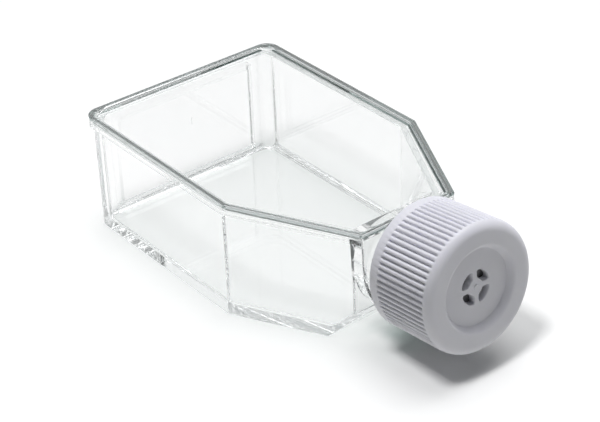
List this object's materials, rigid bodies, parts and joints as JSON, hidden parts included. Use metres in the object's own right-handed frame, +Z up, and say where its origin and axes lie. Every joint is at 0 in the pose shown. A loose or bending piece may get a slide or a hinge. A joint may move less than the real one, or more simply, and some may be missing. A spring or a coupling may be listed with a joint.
{
  "type": "cell culture flask",
  "caption": "Clear cell culture flask lying on its growth surface, with tapered shoulders, a canted neck and a ribbed, vented screw cap.",
  "frame": {"origin": "middle of the flat base's underside, on the surface that the flask lies on", "axes": "+X from the back wall towards the cap, +Z up from the growth surface, +Y to the left of the neck seen from behind"},
  "size_m": [0.0937, 0.0478, 0.0318],
  "materials": {
    "clear_body": "polished clear polystyrene",
    "clear_lid": "polished clear polystyrene",
    "cap_plastic": "satin moulded polyethylene",
    "membrane": "porous matt film",
    "ring_plastic": "satin moulded polyethylene"
  },
  "bodies": {
    "flask": {"flask_body": "clear_body", "top_panel": "clear_lid"},
    "cap_insert": {"vent_membrane": "membrane", "membrane_ring": "ring_plastic"},
    "cap": {"cap_shell": "cap_plastic"}
  },
  "joints": [
    {"name": "cap_rise", "type": "slide", "parent": "flask", "child": "cap_insert", "axis": [0.9931, 0, 0.1175], "range_m": [0, 0.0141]},
    {"name": "cap_turn", "type": "hinge", "parent": "cap_insert", "child": "cap", "pos_m": [0.04425, 0, 0.01725], "axis": [0.9931, 0, 0.1175], "range_deg": [0, 1260]}
  ],
  "couplings": [
    {"joint": "cap_rise", "follows": "cap_turn", "m_per_rad": 0.00063662}
  ]
}
